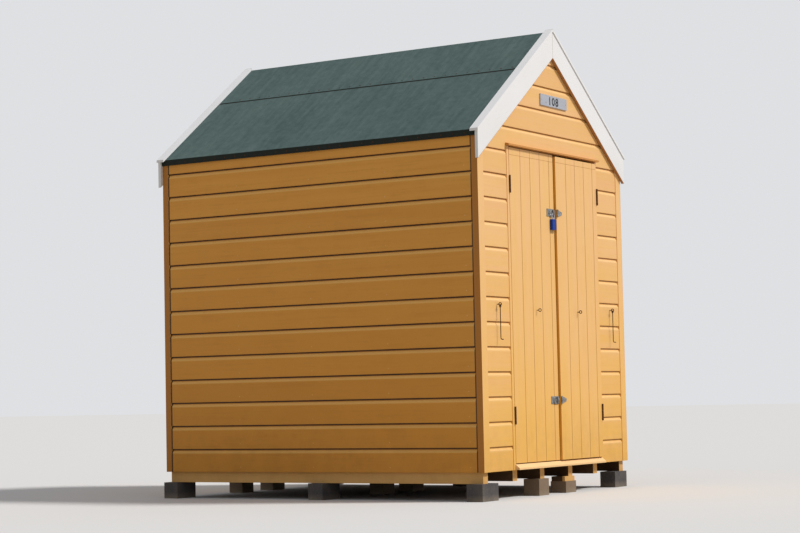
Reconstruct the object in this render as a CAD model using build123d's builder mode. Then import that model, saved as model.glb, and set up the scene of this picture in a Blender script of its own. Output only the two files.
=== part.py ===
# A timber beach hut on pads, with shiplap walls, a felt roof, white bargeboards and a pair of front doors.
# X runs along the front, Y runs into the hut and Z goes up from the ground, with the origin under the middle.

import math
import os

from build123d import *

os.makedirs("parts", exist_ok=True)

# Overall sizes, in mm
hut_width = 1768
hut_depth = 2200
wall_height = 1863
roof_pitch = 36.5
eave_overhang = 4

# Base
pad_height = 95
pad_depth = 100
pad_widths = (175, 0, 117, 127, 0, 160)
pad_offsets = (16, 0, -20, -35, 0, -49)
pad_packings = (0, 0, 0, 28, 0, 0)
packing_inset = 6
joist_width = 50
joist_height = 75
joist_shares = (-0.589, -0.218, 0.183, 0.556)
right_joist_gap = 7
floor_thickness = 16
floor_board_width = 120
floor_groove = 3

# Cladding: each board shows one cover of height, with a cove at its top and a square edge above it
board_cover = 138
board_thickness = 18
cove_height = 22
cove_depth = 9
cove_radius = 34
trim_proud = 3
datum_above_joist = 60
skirt_rise = 2
corner_face_width = 64
corner_side_width = 38

# Framing behind the cladding
stud_depth = 44
stud_width = 44
side_studs = 4
gable_stud_offset = 442
king_stud_width = 44
lintel_height = 44

# Roof
deck_thickness = 16
felt_thickness = 4
felt_turn_down = 34
felt_lap_down_slope = 430
barge_width = 126
barge_thickness = 18
barge_overhang = 20
cap_thickness = 12
cap_front_lip = 6
cap_back_reach = 28
cap_end_reach = 8
ridge_beam_width = 32
ridge_beam_height = 120
purlin_height = 70

# Doorway and doors
jamb_width = 23
door_width = 522
meeting_gap = 10
hinge_gap = 4
door_top_below_eaves = 50
door_head_gap = 5
door_foot_gap = 6
leaf_thickness = 16
right_leaf_proud = 12
right_leaf_short = 8
door_board_cover = 114.5
first_door_board = 128
door_groove_width = 5
door_groove_depth = 2.5
door_top_band = 42
ledge_height = 95
ledge_thickness = 22
ledge_inset = 30
ledge_end_distance = 130
brace_width = 80
brace_gap = 2
stop_width = 15
stop_gap = 5

# Cill, drip bar and number plate
cill_projection = 26
cill_rise = 30
cill_front_lip = 10
cill_above_datum = 3
cill_horn = 5
threshold_depth = 22
threshold_rise = 12
drip_bar_height = 15
drip_bar_projection = 20
drip_bar_horn = 8
plate_width = 326
plate_height = 66
plate_thickness = 8
plate_off_centre = 22
plate_above_door = 283

# Hinges
hinge_height = 100
knuckle_radius = 4.8
knuckle_count = 5
knuckle_gap = 0.4
hinge_pin_radius = 2
hinge_pin_clearance = 0.3
post_sides = 12
hinge_plate_thickness = 1.8
hinge_plate_depth = 15
hinge_above_door_foot = 266
hinge_below_door_top = 209

# Hasps and padlock
hasp_height = 44
hasp_plate_thickness = 3
strap_thickness = 3
strap_length = 62
staple_plate_length = 88
staple_inset = 26
staple_radius = 14
staple_wire = 6
wing_length = 56
wing_tip_height = 16
wing_barrel_radius = 5
hasp_edge_gap = 1.5
slot_play = 4
hasp_above_door_foot = 346
hasp_below_door_top = 341
padlock_width = 50
padlock_height = 62
padlock_thickness = 18
padlock_corner = 6
shackle_wire = 6
shackle_gap = 0.4
shackle_spread = 28
shackle_straight = 20

# Cabin hooks and screw eyes
eye_wire = 4.5
eye_radius = 8
eye_stand_off = 12
ring_sides = 16
ring_chamfer = 0.28
wire_sides = 8
bend_steps = 8
door_eye_offset = 241
door_eye_above_datum = 900
hook_eye_offset = 697
hook_eye_above_datum = 922
hook_wire = 5
hook_ring_radius = 7
hook_ring_clearance = 0.4
hook_length = 178
hook_tip_radius = 9
hook_tip_length = 8

# Heights that follow
joist_bottom = pad_height
joist_top = joist_bottom + joist_height
floor_top = joist_top + floor_thickness
datum = joist_bottom + datum_above_joist
wall_bottom = datum + skirt_rise
slope = math.tan(math.radians(roof_pitch))
steepness = math.cos(math.radians(roof_pitch))
half_width = hut_width / 2
eaves_z = datum + wall_height
under_apex_z = eaves_z + half_width * slope
deck_apex_z = under_apex_z + deck_thickness / steepness
felt_apex_z = deck_apex_z + felt_thickness / steepness
roof_half_width = half_width + eave_overhang
barge_half_width = half_width + barge_overhang

# The walls' faces along Y: the right door's eye reaches furthest in front and the cap strips at the back
eye_corner_radius = (eye_radius + eye_wire / 2) / math.cos(math.pi / ring_sides)
front_reach = right_leaf_proud + eye_stand_off + eye_radius + eye_corner_radius
back_reach = barge_thickness + cap_front_lip
front_y = -(hut_depth + back_reach - front_reach) / 2
back_y = front_y + hut_depth
board_front_y = front_y + trim_proud
board_back_y = back_y - trim_proud
front_inner_y = board_front_y + board_thickness
back_inner_y = board_back_y - board_thickness
frame_front_y = front_inner_y + stud_depth
frame_back_y = back_inner_y - stud_depth
board_half_width = half_width - trim_proud
inner_half_width = board_half_width - board_thickness
frame_half_width = inner_half_width - stud_depth
outer_joist = inner_half_width - joist_width / 2
inner_joists = [share * inner_half_width for share in joist_shares]
joist_centres = [-outer_joist, *inner_joists, outer_joist - right_joist_gap]

# The doorway: two leaves with a gap between them and a hinge gap at each side
doorway_half = door_width + meeting_gap / 2 + hinge_gap
jamb_outer = doorway_half + jamb_width
cill_base = datum + cill_above_datum
cill_top = cill_base + cill_rise
door_bottom = cill_top + door_foot_gap
door_top = eaves_z - door_top_below_eaves
door_height = door_top - door_bottom
hinge_heights = (door_bottom + hinge_above_door_foot, door_top - hinge_below_door_top)
hasp_heights = (door_bottom + hasp_above_door_foot, door_top - hasp_below_door_top)
head_bottom = door_top + door_head_gap
drip_bottom = head_bottom + 2
drip_top = drip_bottom + drip_bar_height
header_bottom = drip_top
knuckle_axis_out = knuckle_radius + knuckle_gap


def roof_z(x, top_z):
    """Height at x of a line that follows the roof from top_z over the middle."""
    return top_z - abs(x) * slope


def block(x_low, x_high, y_low, y_high, z_low, z_high, mode=Mode.ADD):
    with Locations((x_low, y_low, z_low)):
        Box(
            x_high - x_low,
            y_high - y_low,
            z_high - z_low,
            align=(Align.MIN, Align.MIN, Align.MIN),
            mode=mode,
        )


def prism(plane, points, depth, mode=Mode.ADD):
    with BuildSketch(plane) as outline:
        with BuildLine():
            Polyline(*points, close=True)
        make_face()
    extrude(outline.sketch, amount=depth, mode=mode)


def upright(y):
    """Upright plane across the hut at depth y: X to the right, Z up, facing the front."""
    return Plane.XZ.offset(-y)


def lap_heights(low, high):
    laps = []
    lap = datum + board_cover
    while lap <= high:
        if lap - cove_height > low:
            laps.append(lap)
        lap += board_cover
    return laps


def clad(plane, direction, depth, low, high, inner_high):
    """A run of shiplap boards: the face is at 0 of the plane's first axis, the back one thickness in."""
    back = direction * board_thickness
    with BuildSketch(plane) as section:
        with BuildLine():
            corner = (0, low)
            for lap in lap_heights(low, high):
                cove_start = (0, lap - cove_height)
                cove_end = (direction * cove_depth, lap)
                Line(corner, cove_start)
                RadiusArc(cove_start, cove_end, -direction * cove_radius)
                corner = cove_end
                if lap < high:
                    Line(cove_end, (0, lap))
                    corner = (0, lap)
            if corner[1] < high:
                Line(corner, (0, high))
                corner = (0, high)
            Line(corner, (back, inner_high))
            Line((back, inner_high), (back, low))
            Line((back, low), (0, low))
        make_face()
    extrude(section.sketch, amount=depth)


def keep_under_roof(y_low, y_high):
    """Cuts what is being built to the outline of a gable wall."""
    outline = [
        (-half_width, 0),
        (half_width, 0),
        (half_width, eaves_z),
        (0, under_apex_z),
        (-half_width, eaves_z),
    ]
    prism(upright(y_high), outline, y_high - y_low, Mode.INTERSECT)


def circumscribed(radius, sides):
    """The corner radius of a polygon whose flats lie at a radius."""
    return radius / math.cos(math.pi / sides)


def post(plane, radius, sides, length, mode=Mode.ADD):
    """A straight bar of few sides, with its corners at a radius."""
    with BuildSketch(plane) as section:
        RegularPolygon(radius, sides)
    extrude(section.sketch, amount=length, mode=mode)


def ring(plane, radius, wire):
    """A ring of wire that lies in a plane, many-sided both around and across."""
    with BuildSketch(plane.offset(-wire / 2)) as band:
        RegularPolygon(circumscribed(radius + wire / 2, ring_sides), ring_sides)
        RegularPolygon(circumscribed(radius - wire / 2, ring_sides), ring_sides, mode=Mode.SUBTRACT)
    square = extrude(band.sketch, amount=wire, mode=Mode.PRIVATE).solid()
    rims = [edge for edge in square.edges() if abs((edge % 0.5).dot(plane.z_dir)) < 0.5]
    add(square.chamfer(wire * ring_chamfer, None, rims))


def screw_eye(x, face_y, z):
    """A ring on a shank that stands out of a face at face_y."""
    ring_y = face_y - eye_stand_off - eye_radius
    ring(Plane((x, ring_y, z), x_dir=(0, 1, 0), z_dir=(1, 0, 0)), eye_radius, eye_wire)
    shank = Plane((x, face_y, z), x_dir=(1, 0, 0), z_dir=(0, -1, 0))
    post(shank, eye_wire / 2, wire_sides, eye_stand_off + eye_wire / 4)


def bent_wire(points, wire):
    """A wire of few sides along straight runs, mitred where they meet."""
    start, following = Vector(*points[0]), Vector(*points[1])
    with BuildLine() as path:
        Polyline(*points)
    with BuildSketch(Plane(start, z_dir=following - start)) as section:
        RegularPolygon(wire / 2, wire_sides)
    sweep(section.sketch, path=path.line, transition=Transition.RIGHT)


def finish(part, name):
    part.label = name
    export_step(part, f"parts/{name}.step")
    print(name, "solids", len(part.solids()))


# Pads under four of the joists, in three rows from front to back, one with a piece of wood on it
pad_rows = (
    front_y,
    (front_y + back_y - pad_depth) / 2,
    back_y - pad_depth,
)
pad_places = list(zip(joist_centres, pad_widths, pad_offsets, pad_packings))
with BuildPart() as pads:
    for row, row_y in enumerate(pad_rows):
        for centre, width, offset, packing in pad_places:
            if width:
                low = centre + offset - width / 2
                top = joist_bottom - (0 if row else packing)
                block(low, low + width, row_y, row_y + pad_depth, 0, top)
finish(pads.part, "pads")

with BuildPart() as packing_piece:
    for centre, width, offset, packing in pad_places:
        if packing:
            low = centre + offset - width / 2
            block(
                low,
                low + width - packing_inset,
                front_y + packing_inset,
                front_y + pad_depth - packing_inset,
                joist_bottom - packing,
                joist_bottom,
            )
finish(packing_piece.part, "packing_piece")

# Floor: joists from front to back, with boards across them
with BuildPart() as joists:
    for centre in joist_centres:
        block(
            centre - joist_width / 2,
            centre + joist_width / 2,
            front_inner_y,
            back_inner_y,
            joist_bottom,
            joist_top,
        )
finish(joists.part, "joists")

with BuildPart() as floor:
    block(-inner_half_width, inner_half_width, front_inner_y, back_inner_y, joist_top, floor_top)
    seam_y = front_inner_y + floor_board_width
    while seam_y < back_inner_y - floor_groove:
        groove = [
            (seam_y - floor_groove / 2, floor_top),
            (seam_y, floor_top - floor_groove),
            (seam_y + floor_groove / 2, floor_top),
        ]
        prism(Plane.YZ.offset(-inner_half_width), groove, 2 * inner_half_width, Mode.SUBTRACT)
        seam_y += floor_board_width
finish(floor.part, "floor")

# Side walls, with their boards between the corner posts and their tops cut to the roof
side_top_rise = board_thickness * slope
side_start_y = front_y + corner_side_width
side_length = hut_depth - 2 * corner_side_width
for side, name in ((-1, "left_wall"), (1, "right_wall")):
    with BuildPart() as side_wall:
        side_plane = Plane(
            (side * board_half_width, side_start_y + side_length, 0), x_dir=(1, 0, 0), z_dir=(0, -1, 0)
        )
        side_top = roof_z(board_half_width, under_apex_z)
        clad(side_plane, -side, side_length, wall_bottom, side_top, side_top + side_top_rise)
    finish(side_wall.part, name)

# End walls: panels beside the doorway, a header board over it and a gable, and a whole wall at the back
clad_half = half_width - corner_face_width
gable_bottom = lap_heights(header_bottom, under_apex_z)[0]
front_face_plane = Plane((0, board_front_y, 0), x_dir=(0, 1, 0), z_dir=(1, 0, 0))


def clad_front(x_low, x_high, low, high):
    plane = front_face_plane.offset(x_low)
    clad(plane, 1, x_high - x_low, low, high, high)


for side, name in ((-1, "front_wall_left"), (1, "front_wall_right")):
    with BuildPart() as front_panel:
        panel_ends = sorted((side * clad_half, side * jamb_outer))
        clad_front(*panel_ends, wall_bottom, gable_bottom)
        keep_under_roof(front_y, front_inner_y)
    finish(front_panel.part, name)

with BuildPart() as front_header:
    clad_front(-jamb_outer, jamb_outer, header_bottom, gable_bottom)
finish(front_header.part, "front_header")

with BuildPart() as front_gable:
    clad_front(-clad_half, clad_half, gable_bottom, under_apex_z)
    keep_under_roof(front_y, front_inner_y)
finish(front_gable.part, "front_gable")

with BuildPart() as back_wall:
    back_plane = Plane((-clad_half, board_back_y, 0), x_dir=(0, 1, 0), z_dir=(1, 0, 0))
    clad(back_plane, -1, 2 * clad_half, wall_bottom, under_apex_z, under_apex_z)
    keep_under_roof(back_inner_y, back_y)
finish(back_wall.part, "back_wall")

# Corner posts: an angle of two boards at each corner, standing a little proud of the boards beside it
corner_thickness = board_thickness + trim_proud
with BuildPart() as corner_trims:
    for side in (-1, 1):
        for end_y, into in ((front_y, 1), (back_y, -1)):
            with BuildSketch(Plane.XY.offset(wall_bottom)) as angle:
                with BuildLine():
                    Polyline(
                        (side * half_width, end_y),
                        (side * (half_width - corner_face_width), end_y),
                        (side * (half_width - corner_face_width), end_y + into * corner_thickness),
                        (side * inner_half_width, end_y + into * corner_thickness),
                        (side * inner_half_width, end_y + into * corner_side_width),
                        (side * half_width, end_y + into * corner_side_width),
                        close=True,
                    )
                make_face()
            extrude(amount=under_apex_z - wall_bottom)
    keep_under_roof(front_y, back_y)
finish(corner_trims.part, "corner_trims")

# Framing: plates along the side walls, plates and a lintel across the ends, and studs between them
plate_top_low = roof_z(inner_half_width, under_apex_z) - stud_depth
with BuildPart() as side_wall_plates:
    for side in (-1, 1):
        x_low = min(side * inner_half_width, side * frame_half_width)
        x_high = x_low + stud_depth
        block(x_low, x_high, front_inner_y, back_inner_y, floor_top, floor_top + stud_width)
        block(x_low, x_high, front_inner_y, back_inner_y, plate_top_low, under_apex_z)
    keep_under_roof(front_inner_y, back_inner_y)
finish(side_wall_plates.part, "side_wall_plates")

lintel_top = header_bottom + lintel_height
with BuildPart() as end_wall_plates:
    for side in (-1, 1):
        x_low = min(side * frame_half_width, side * jamb_outer)
        x_high = max(side * frame_half_width, side * jamb_outer)
        block(x_low, x_high, front_inner_y, frame_front_y, floor_top, floor_top + stud_width)
    block(-jamb_outer, jamb_outer, front_inner_y, frame_front_y, header_bottom, lintel_top)
    block(-frame_half_width, frame_half_width, frame_back_y, back_inner_y, floor_top, floor_top + stud_width)
finish(end_wall_plates.part, "end_wall_plates")

stud_foot = floor_top + stud_width
beam_bottom = under_apex_z - ridge_beam_height
purlin_bottom = roof_z(gable_stud_offset, under_apex_z) - purlin_height
with BuildPart() as wall_studs:
    stud_run = frame_back_y - frame_front_y
    for side in (-1, 1):
        x_low = min(side * inner_half_width, side * frame_half_width)
        for number in range(side_studs):
            stud_y = frame_front_y + stud_run * (number + 0.5) / side_studs - stud_width / 2
            block(x_low, x_low + stud_depth, stud_y, stud_y + stud_width, stud_foot, plate_top_low)
        trimmer = min(side * jamb_outer, side * (jamb_outer + stud_width))
        block(trimmer, trimmer + stud_width, front_inner_y, frame_front_y, stud_foot, under_apex_z)
        gable_stud = side * gable_stud_offset - stud_width / 2
        block(gable_stud, gable_stud + stud_width, front_inner_y, frame_front_y, lintel_top, purlin_bottom)
        block(gable_stud, gable_stud + stud_width, frame_back_y, back_inner_y, stud_foot, purlin_bottom)
    king = king_stud_width / 2
    block(-king, king, front_inner_y, frame_front_y, lintel_top, beam_bottom)
    block(-king, king, frame_back_y, back_inner_y, stud_foot, beam_bottom)
    keep_under_roof(front_inner_y, back_inner_y)
finish(wall_studs.part, "wall_studs")

# Roof timbers: the ridge beam and a purlin half way down each slope, with tops cut to the roof
with BuildPart() as roof_timbers:
    beam = ridge_beam_width / 2
    block(-beam, beam, front_inner_y, back_inner_y, beam_bottom, under_apex_z)
    for side in (-1, 1):
        purlin = side * gable_stud_offset - stud_width / 2
        block(purlin, purlin + stud_width, front_inner_y, back_inner_y, purlin_bottom, under_apex_z)
    keep_under_roof(front_inner_y, back_inner_y)
finish(roof_timbers.part, "roof_timbers")


def roof_sheet(side, x_near, x_far, low_apex, high_apex):
    """The section of a sheet on one slope, between two distances from the middle."""
    return [
        (side * x_near, roof_z(x_near, low_apex)),
        (side * x_far, roof_z(x_far, low_apex)),
        (side * x_far, roof_z(x_far, high_apex)),
        (side * x_near, roof_z(x_near, high_apex)),
    ]


for side, name in ((-1, "roof_left"), (1, "roof_right")):
    with BuildPart() as deck:
        prism(upright(back_y), roof_sheet(side, 0, roof_half_width, under_apex_z, deck_apex_z), hut_depth)
    finish(deck.part, name)

# Felt: a sheet on each slope turned down over the eave, and a sheet over the ridge that laps them
lap_x = felt_lap_down_slope * steepness
felt_edge = roof_half_width + felt_thickness
eave_z = roof_z(roof_half_width, deck_apex_z)
lower_apex_z = deck_apex_z + felt_thickness / 2 / steepness
with BuildPart() as felt_lower_sheets:
    for side in (-1, 1):
        turned = [
            (side * lap_x, roof_z(lap_x, deck_apex_z)),
            (side * roof_half_width, eave_z),
            (side * roof_half_width, eave_z - felt_turn_down),
            (side * felt_edge, eave_z - felt_turn_down),
            (side * felt_edge, roof_z(felt_edge, lower_apex_z)),
            (side * lap_x, roof_z(lap_x, lower_apex_z)),
        ]
        prism(upright(back_y), turned, hut_depth)
finish(felt_lower_sheets.part, "felt_lower_sheets")

with BuildPart() as felt_ridge_sheet:
    over = [
        (-lap_x, roof_z(lap_x, deck_apex_z)),
        (0, deck_apex_z),
        (lap_x, roof_z(lap_x, deck_apex_z)),
        (lap_x, roof_z(lap_x, felt_apex_z)),
        (0, felt_apex_z),
        (-lap_x, roof_z(lap_x, felt_apex_z)),
    ]
    prism(upright(back_y), over, hut_depth)
finish(felt_ridge_sheet.part, "felt_ridge_sheet")

# Bargeboards against both ends, cut upright at the apex and the eaves, under cap strips
barge_drop = barge_width / steepness
cap_rise = cap_thickness / steepness
cap_end = barge_half_width + cap_end_reach
for side, name in ((-1, "left"), (1, "right")):
    with BuildPart() as bargeboards:
        outline = roof_sheet(side, 0, barge_half_width, felt_apex_z - barge_drop, felt_apex_z)
        prism(upright(front_y), outline, barge_thickness)
        prism(upright(back_y + barge_thickness), outline, barge_thickness)
    finish(bargeboards.part, f"{name}_bargeboards")

    with BuildPart() as caps:
        strip = roof_sheet(side, 0, cap_end, felt_apex_z, felt_apex_z + cap_rise)
        cap_depth = barge_thickness + cap_front_lip + cap_back_reach
        prism(upright(front_y + cap_back_reach), strip, cap_depth)
        prism(upright(back_y + barge_thickness + cap_front_lip), strip, cap_depth)
    finish(caps.part, f"{name}_barge_caps")

# Door frame: jambs with a stop behind each leaf, and a head with a stop across both
stop_y = front_y + leaf_thickness + stop_gap
with BuildPart() as door_jambs:
    for side in (-1, 1):
        with BuildSketch(Plane.XY.offset(wall_bottom)) as jamb:
            with BuildLine():
                Polyline(
                    (side * jamb_outer, front_y),
                    (side * doorway_half, front_y),
                    (side * doorway_half, stop_y),
                    (side * (doorway_half - stop_width), stop_y),
                    (side * (doorway_half - stop_width), frame_front_y),
                    (side * jamb_outer, frame_front_y),
                    close=True,
                )
            make_face()
        extrude(amount=head_bottom - wall_bottom)
        for foot in (floor.part, joists.part):
            add(foot, mode=Mode.SUBTRACT)
finish(door_jambs.part, "door_jambs")

with BuildPart() as door_head:
    head_section = [
        (front_y, head_bottom),
        (front_y, header_bottom),
        (frame_front_y, header_bottom),
        (frame_front_y, head_bottom),
    ]
    prism(Plane.YZ.offset(-jamb_outer), head_section, 2 * jamb_outer)
finish(door_head.part, "door_head")

# Drip bar over the doors, with its top falling to the front
with BuildPart() as drip_bar:
    drip_half = jamb_outer + drip_bar_horn
    drip_section = [
        (front_y, drip_bottom),
        (front_y, drip_top),
        (front_y - drip_bar_projection, drip_top - drip_bar_height / 3),
        (front_y - drip_bar_projection, drip_bottom),
    ]
    prism(Plane.YZ.offset(-drip_half), drip_section, 2 * drip_half)
finish(drip_bar.part, "drip_bar")

# Cill below the doors: a falling board that fits between the jambs, with a horn in front of each
with BuildPart() as cill:
    horn_half = doorway_half + cill_horn
    cill_front_y = front_y - cill_projection
    cill_section = [
        (front_inner_y, cill_base),
        (front_inner_y, cill_top),
        (front_y, cill_top),
        (cill_front_y, cill_base + cill_front_lip),
        (cill_front_y, cill_base),
    ]
    prism(Plane.YZ.offset(-horn_half), cill_section, 2 * horn_half)
    for side in (-1, 1):
        x_low = min(side * doorway_half, side * horn_half)
        block(x_low, x_low + cill_horn, front_y, front_inner_y, cill_base, cill_top, Mode.SUBTRACT)
finish(cill.part, "cill")

# Threshold: a strip on the floor that closes the gap below the doors
with BuildPart() as threshold:
    threshold_half = doorway_half - stop_width
    block(
        -threshold_half,
        threshold_half,
        stop_y,
        stop_y + threshold_depth,
        floor_top,
        door_bottom + threshold_rise,
    )
finish(threshold.part, "threshold")

with BuildPart() as number_plate:
    plate_low = door_top + plate_above_door
    block(
        plate_off_centre - plate_width / 2,
        plate_off_centre + plate_width / 2,
        board_front_y - plate_thickness,
        board_front_y,
        plate_low,
        plate_low + plate_height,
    )
finish(number_plate.part, "number_plate")

# Doors: two leaves of grooved boards with ledges and braces behind, the right one a little proud and short
brace_rise = (door_height - 2 * ledge_end_distance - 3 * ledge_height) / 2
knuckle_height = hinge_height / knuckle_count
hinge_x = doorway_half - hinge_gap / 2
leaf_edge = doorway_half - hinge_gap


def leaf_face(side):
    return front_y - (right_leaf_proud if side > 0 else 0)


def knuckles(side, door_side):
    """The barrels, tabs and plates of one half of a leaf's hinges; the frame's half carries the pin."""
    axis_y = leaf_face(side) - knuckle_axis_out
    bore = circumscribed(hinge_pin_radius + hinge_pin_clearance, post_sides)
    for mid in hinge_heights:
        low = mid - hinge_height / 2
        plate_near = side * (leaf_edge if door_side else doorway_half)
        plate_far = plate_near + side * (hinge_plate_thickness if door_side else -hinge_plate_thickness)
        plate_x = (min(plate_near, plate_far), max(plate_near, plate_far))
        plate_y = axis_y + knuckle_axis_out
        block(*plate_x, plate_y, plate_y + hinge_plate_depth, low, low + hinge_height)
        for number in range(knuckle_count):
            if (number % 2 == 1) != door_side:
                continue
            foot = low + number * knuckle_height + knuckle_gap / 2
            tall = knuckle_height - knuckle_gap
            block(*plate_x, axis_y, plate_y, foot, foot + tall)
            barrel = Plane((side * hinge_x, axis_y, foot))
            post(barrel, knuckle_radius, post_sides, tall)
            if door_side:
                post(barrel, bore, post_sides, tall, Mode.SUBTRACT)
        if not door_side:
            post(Plane((side * hinge_x, axis_y, low)), hinge_pin_radius, post_sides, hinge_height)


for side, name in ((-1, "left"), (1, "right")):
    face_y = leaf_face(side)
    back_of_leaf = face_y + leaf_thickness
    x_left = min(side * leaf_edge, side * meeting_gap / 2)
    x_right = x_left + door_width
    leaf_top = door_top - (right_leaf_short if side > 0 else 0)
    band_z = door_top - door_top_band

    with BuildPart() as leaf:
        block(x_left, x_right, face_y, back_of_leaf, door_bottom, leaf_top)
        groove_x = x_left + first_door_board
        while groove_x < x_right - door_groove_width:
            groove = [
                (groove_x - door_groove_width / 2, face_y),
                (groove_x, face_y + door_groove_depth),
                (groove_x + door_groove_width / 2, face_y),
            ]
            prism(Plane.XY.offset(door_bottom), groove, band_z - door_bottom, Mode.SUBTRACT)
            groove_x += door_board_cover
        band_groove = [
            (face_y, band_z - door_groove_depth / 2),
            (face_y + door_groove_depth / 2, band_z),
            (face_y, band_z + door_groove_depth / 2),
        ]
        prism(Plane.YZ.offset(x_left), band_groove, door_width, Mode.SUBTRACT)
    finish(leaf.part, f"{name}_door")

    with BuildPart() as ledges:
        ledge_left = x_left + ledge_inset
        ledge_right = x_right - ledge_inset
        ledge_low = door_bottom + ledge_end_distance
        for level in range(3):
            low = ledge_low + level * (ledge_height + brace_rise)
            block(ledge_left, ledge_right, back_of_leaf, back_of_leaf + ledge_thickness, low, low + ledge_height)
        hinge_end = ledge_left if side < 0 else ledge_right
        free_end = ledge_right if side < 0 else ledge_left
        for level in range(2):
            foot = ledge_low + ledge_height + level * (ledge_height + brace_rise) + brace_gap
            top = foot + brace_rise - 2 * brace_gap
            brace = [
                (hinge_end, foot),
                (hinge_end - side * brace_width, foot),
                (free_end, top),
                (free_end + side * brace_width, top),
            ]
            prism(upright(back_of_leaf + ledge_thickness), brace, ledge_thickness)
    finish(ledges.part, f"{name}_door_ledges")

    with BuildPart() as door_hinges:
        knuckles(side, True)
    finish(door_hinges.part, f"{name}_door_hinges")

with BuildPart() as frame_hinges:
    for side in (-1, 1):
        knuckles(side, False)
finish(frame_hinges.part, "frame_hinges")

# Hasps: on the left leaf a staple with the strap closed over it, on the right leaf the strap's hinge wing
left_face = leaf_face(-1)
right_face = leaf_face(1)
strap_right = -meeting_gap / 2 - hasp_edge_gap
staple_x = strap_right - staple_inset
strap_back = left_face - hasp_plate_thickness
strap_front = strap_back - strap_thickness
slot_length = staple_radius * 2 + staple_wire + slot_play
slot_width = staple_wire + slot_play

with BuildPart() as left_hasp_straps:
    for mid in hasp_heights:
        with BuildSketch(upright(strap_back)) as strap:
            with Locations((strap_right - strap_length / 2, mid)):
                RectangleRounded(strap_length, hasp_height, hasp_height / 5)
            with Locations((staple_x, mid)):
                Rectangle(slot_width, slot_length, mode=Mode.SUBTRACT)
        extrude(amount=strap_thickness)
finish(left_hasp_straps.part, "left_hasp_straps")

# Each staple is a plate behind the strap with a half ring standing through its slot
with BuildPart() as left_door_staples:
    for mid in hasp_heights:
        block(
            strap_right - staple_plate_length,
            strap_right,
            strap_back,
            left_face,
            mid - hasp_height / 2,
            mid + hasp_height / 2,
        )
        ring(Plane((staple_x, strap_back, mid), x_dir=(0, 1, 0), z_dir=(1, 0, 0)), staple_radius, staple_wire)
        block(
            staple_x - staple_radius * 2,
            staple_x + staple_radius * 2,
            left_face,
            left_face + staple_radius * 2,
            mid - staple_radius * 2,
            mid + staple_radius * 2,
            Mode.SUBTRACT,
        )
    screw_eye(-door_eye_offset, left_face, datum + door_eye_above_datum)
finish(left_door_staples.part, "left_door_staples")

with BuildPart() as right_door_eye:
    screw_eye(door_eye_offset, right_face, datum + door_eye_above_datum)
finish(right_door_eye.part, "right_door_eye")

# Each wing tapers away from the barrel at the meeting edge
wing_left = meeting_gap / 2 + hasp_edge_gap
with BuildPart() as right_hasp_plates:
    for mid in hasp_heights:
        barrel_x = wing_left + wing_barrel_radius
        wing = [
            (barrel_x, mid - hasp_height / 2),
            (barrel_x + wing_length, mid - wing_tip_height / 2),
            (barrel_x + wing_length, mid + wing_tip_height / 2),
            (barrel_x, mid + hasp_height / 2),
        ]
        prism(upright(right_face), wing, hasp_plate_thickness)
        barrel = Plane((barrel_x, right_face - wing_barrel_radius, mid - hasp_height / 2))
        post(barrel, wing_barrel_radius, post_sides, hasp_height)
finish(right_hasp_plates.part, "right_hasp_plates")

# Padlock hanging from the upper staple, its shackle through the ring in front of the strap
shackle_out = strap_thickness + shackle_wire / 2 + shackle_gap
ring_play = staple_radius - (staple_wire + shackle_wire) / 2 - shackle_gap
shackle_y = strap_back - shackle_out
shackle_top = hasp_heights[1] - math.sqrt(ring_play**2 - shackle_out**2)
shackle_radius = shackle_spread / 2
shackle_foot = shackle_top - shackle_radius - shackle_straight
with BuildPart() as padlock_shackle:
    bow = [(staple_x - shackle_radius, shackle_y, shackle_foot)]
    for step in range(bend_steps + 1):
        turn = math.pi * step / bend_steps
        bow.append((
            staple_x - shackle_radius * math.cos(turn),
            shackle_y,
            shackle_top - shackle_radius * (1 - math.sin(turn)),
        ))
    bow.append((staple_x + shackle_radius, shackle_y, shackle_foot))
    bent_wire(bow, shackle_wire)
finish(padlock_shackle.part, "padlock_shackle")

with BuildPart() as padlock_body:
    with BuildSketch(Plane.XY.offset(shackle_foot - padlock_height)):
        with Locations((staple_x, shackle_y)):
            RectangleRounded(padlock_width, padlock_thickness, padlock_corner)
    extrude(amount=padlock_height)
finish(padlock_body.part, "padlock_body")

# Cabin hooks: an eye on each front panel with a hook hanging from it
hook_ring_drop = hook_ring_radius - hook_wire / 2 - eye_wire / 2 - hook_ring_clearance
hook_pivot_z = datum + hook_eye_above_datum - eye_radius
hook_y = board_front_y - eye_stand_off - eye_radius
with BuildPart() as hook_eyes:
    for side in (-1, 1):
        screw_eye(side * hook_eye_offset, board_front_y, datum + hook_eye_above_datum)
finish(hook_eyes.part, "hook_eyes")

for side, name in ((-1, "left_hook"), (1, "right_hook")):
    hook_x = side * hook_eye_offset
    ring_z = hook_pivot_z - hook_ring_drop
    rod_foot = hook_pivot_z - hook_length
    with BuildPart() as hook:
        ring(Plane((hook_x, hook_y, ring_z), x_dir=(1, 0, 0), z_dir=(0, 1, 0)), hook_ring_radius, hook_wire)
        line = [(hook_x, hook_y, ring_z - hook_ring_radius)]
        for step in range(bend_steps // 2 + 1):
            turn = math.pi * step / bend_steps
            line.append((
                hook_x,
                hook_y - hook_tip_radius * (1 - math.cos(turn)),
                rod_foot - hook_tip_radius * math.sin(turn),
            ))
        line.append((hook_x, hook_y - hook_tip_radius - hook_tip_length, rod_foot - hook_tip_radius))
        bent_wire(line, hook_wire)
    finish(hook.part, name)

print("left axis", -hinge_x, leaf_face(-1) - knuckle_axis_out, "right axis y", leaf_face(1) - knuckle_axis_out)
print("hook pivot", hook_eye_offset, hook_y, hook_pivot_z)
print("front", front_y, "back", back_y, "floor", floor_top, "door", door_bottom, door_top)
print("frame inner", frame_half_width, frame_front_y, frame_back_y, "eaves", eaves_z, "plate", plate_top_low)
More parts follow.
